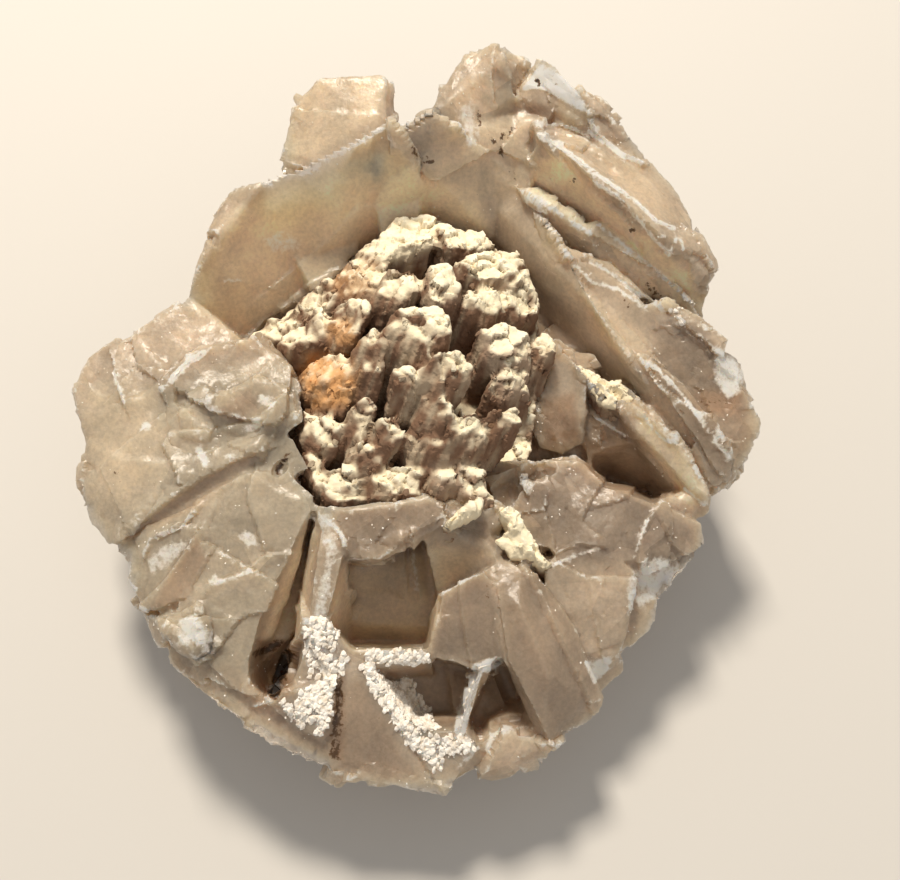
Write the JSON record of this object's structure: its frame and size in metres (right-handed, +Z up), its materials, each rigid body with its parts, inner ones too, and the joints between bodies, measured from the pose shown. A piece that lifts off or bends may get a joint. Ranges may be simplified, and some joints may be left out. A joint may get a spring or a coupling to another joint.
{
  "type": "chalcedony specimen",
  "caption": "Grown cup of translucent chalcedony blades with deep wells between them, round a crumbling cream core of leaning column fragments.",
  "frame": {"origin": "middle of the flat patch that the stone rests on, under the middle of its outline", "axes": "+Z up from the resting patch; +Y towards the tall peak at the far rim; the low rim with the wells lies towards -Y"},
  "size_m": [0.0586, 0.0606, 0.0287],
  "materials": {
    "chalcedony": "waxy, frosted on broken faces, translucent",
    "cream_matrix": "dry, chalky and crumbling"
  },
  "bodies": {
    "root": {"chalcedony": "chalcedony", "matrix_core": "cream_matrix"}
  },
  "joints": []
}
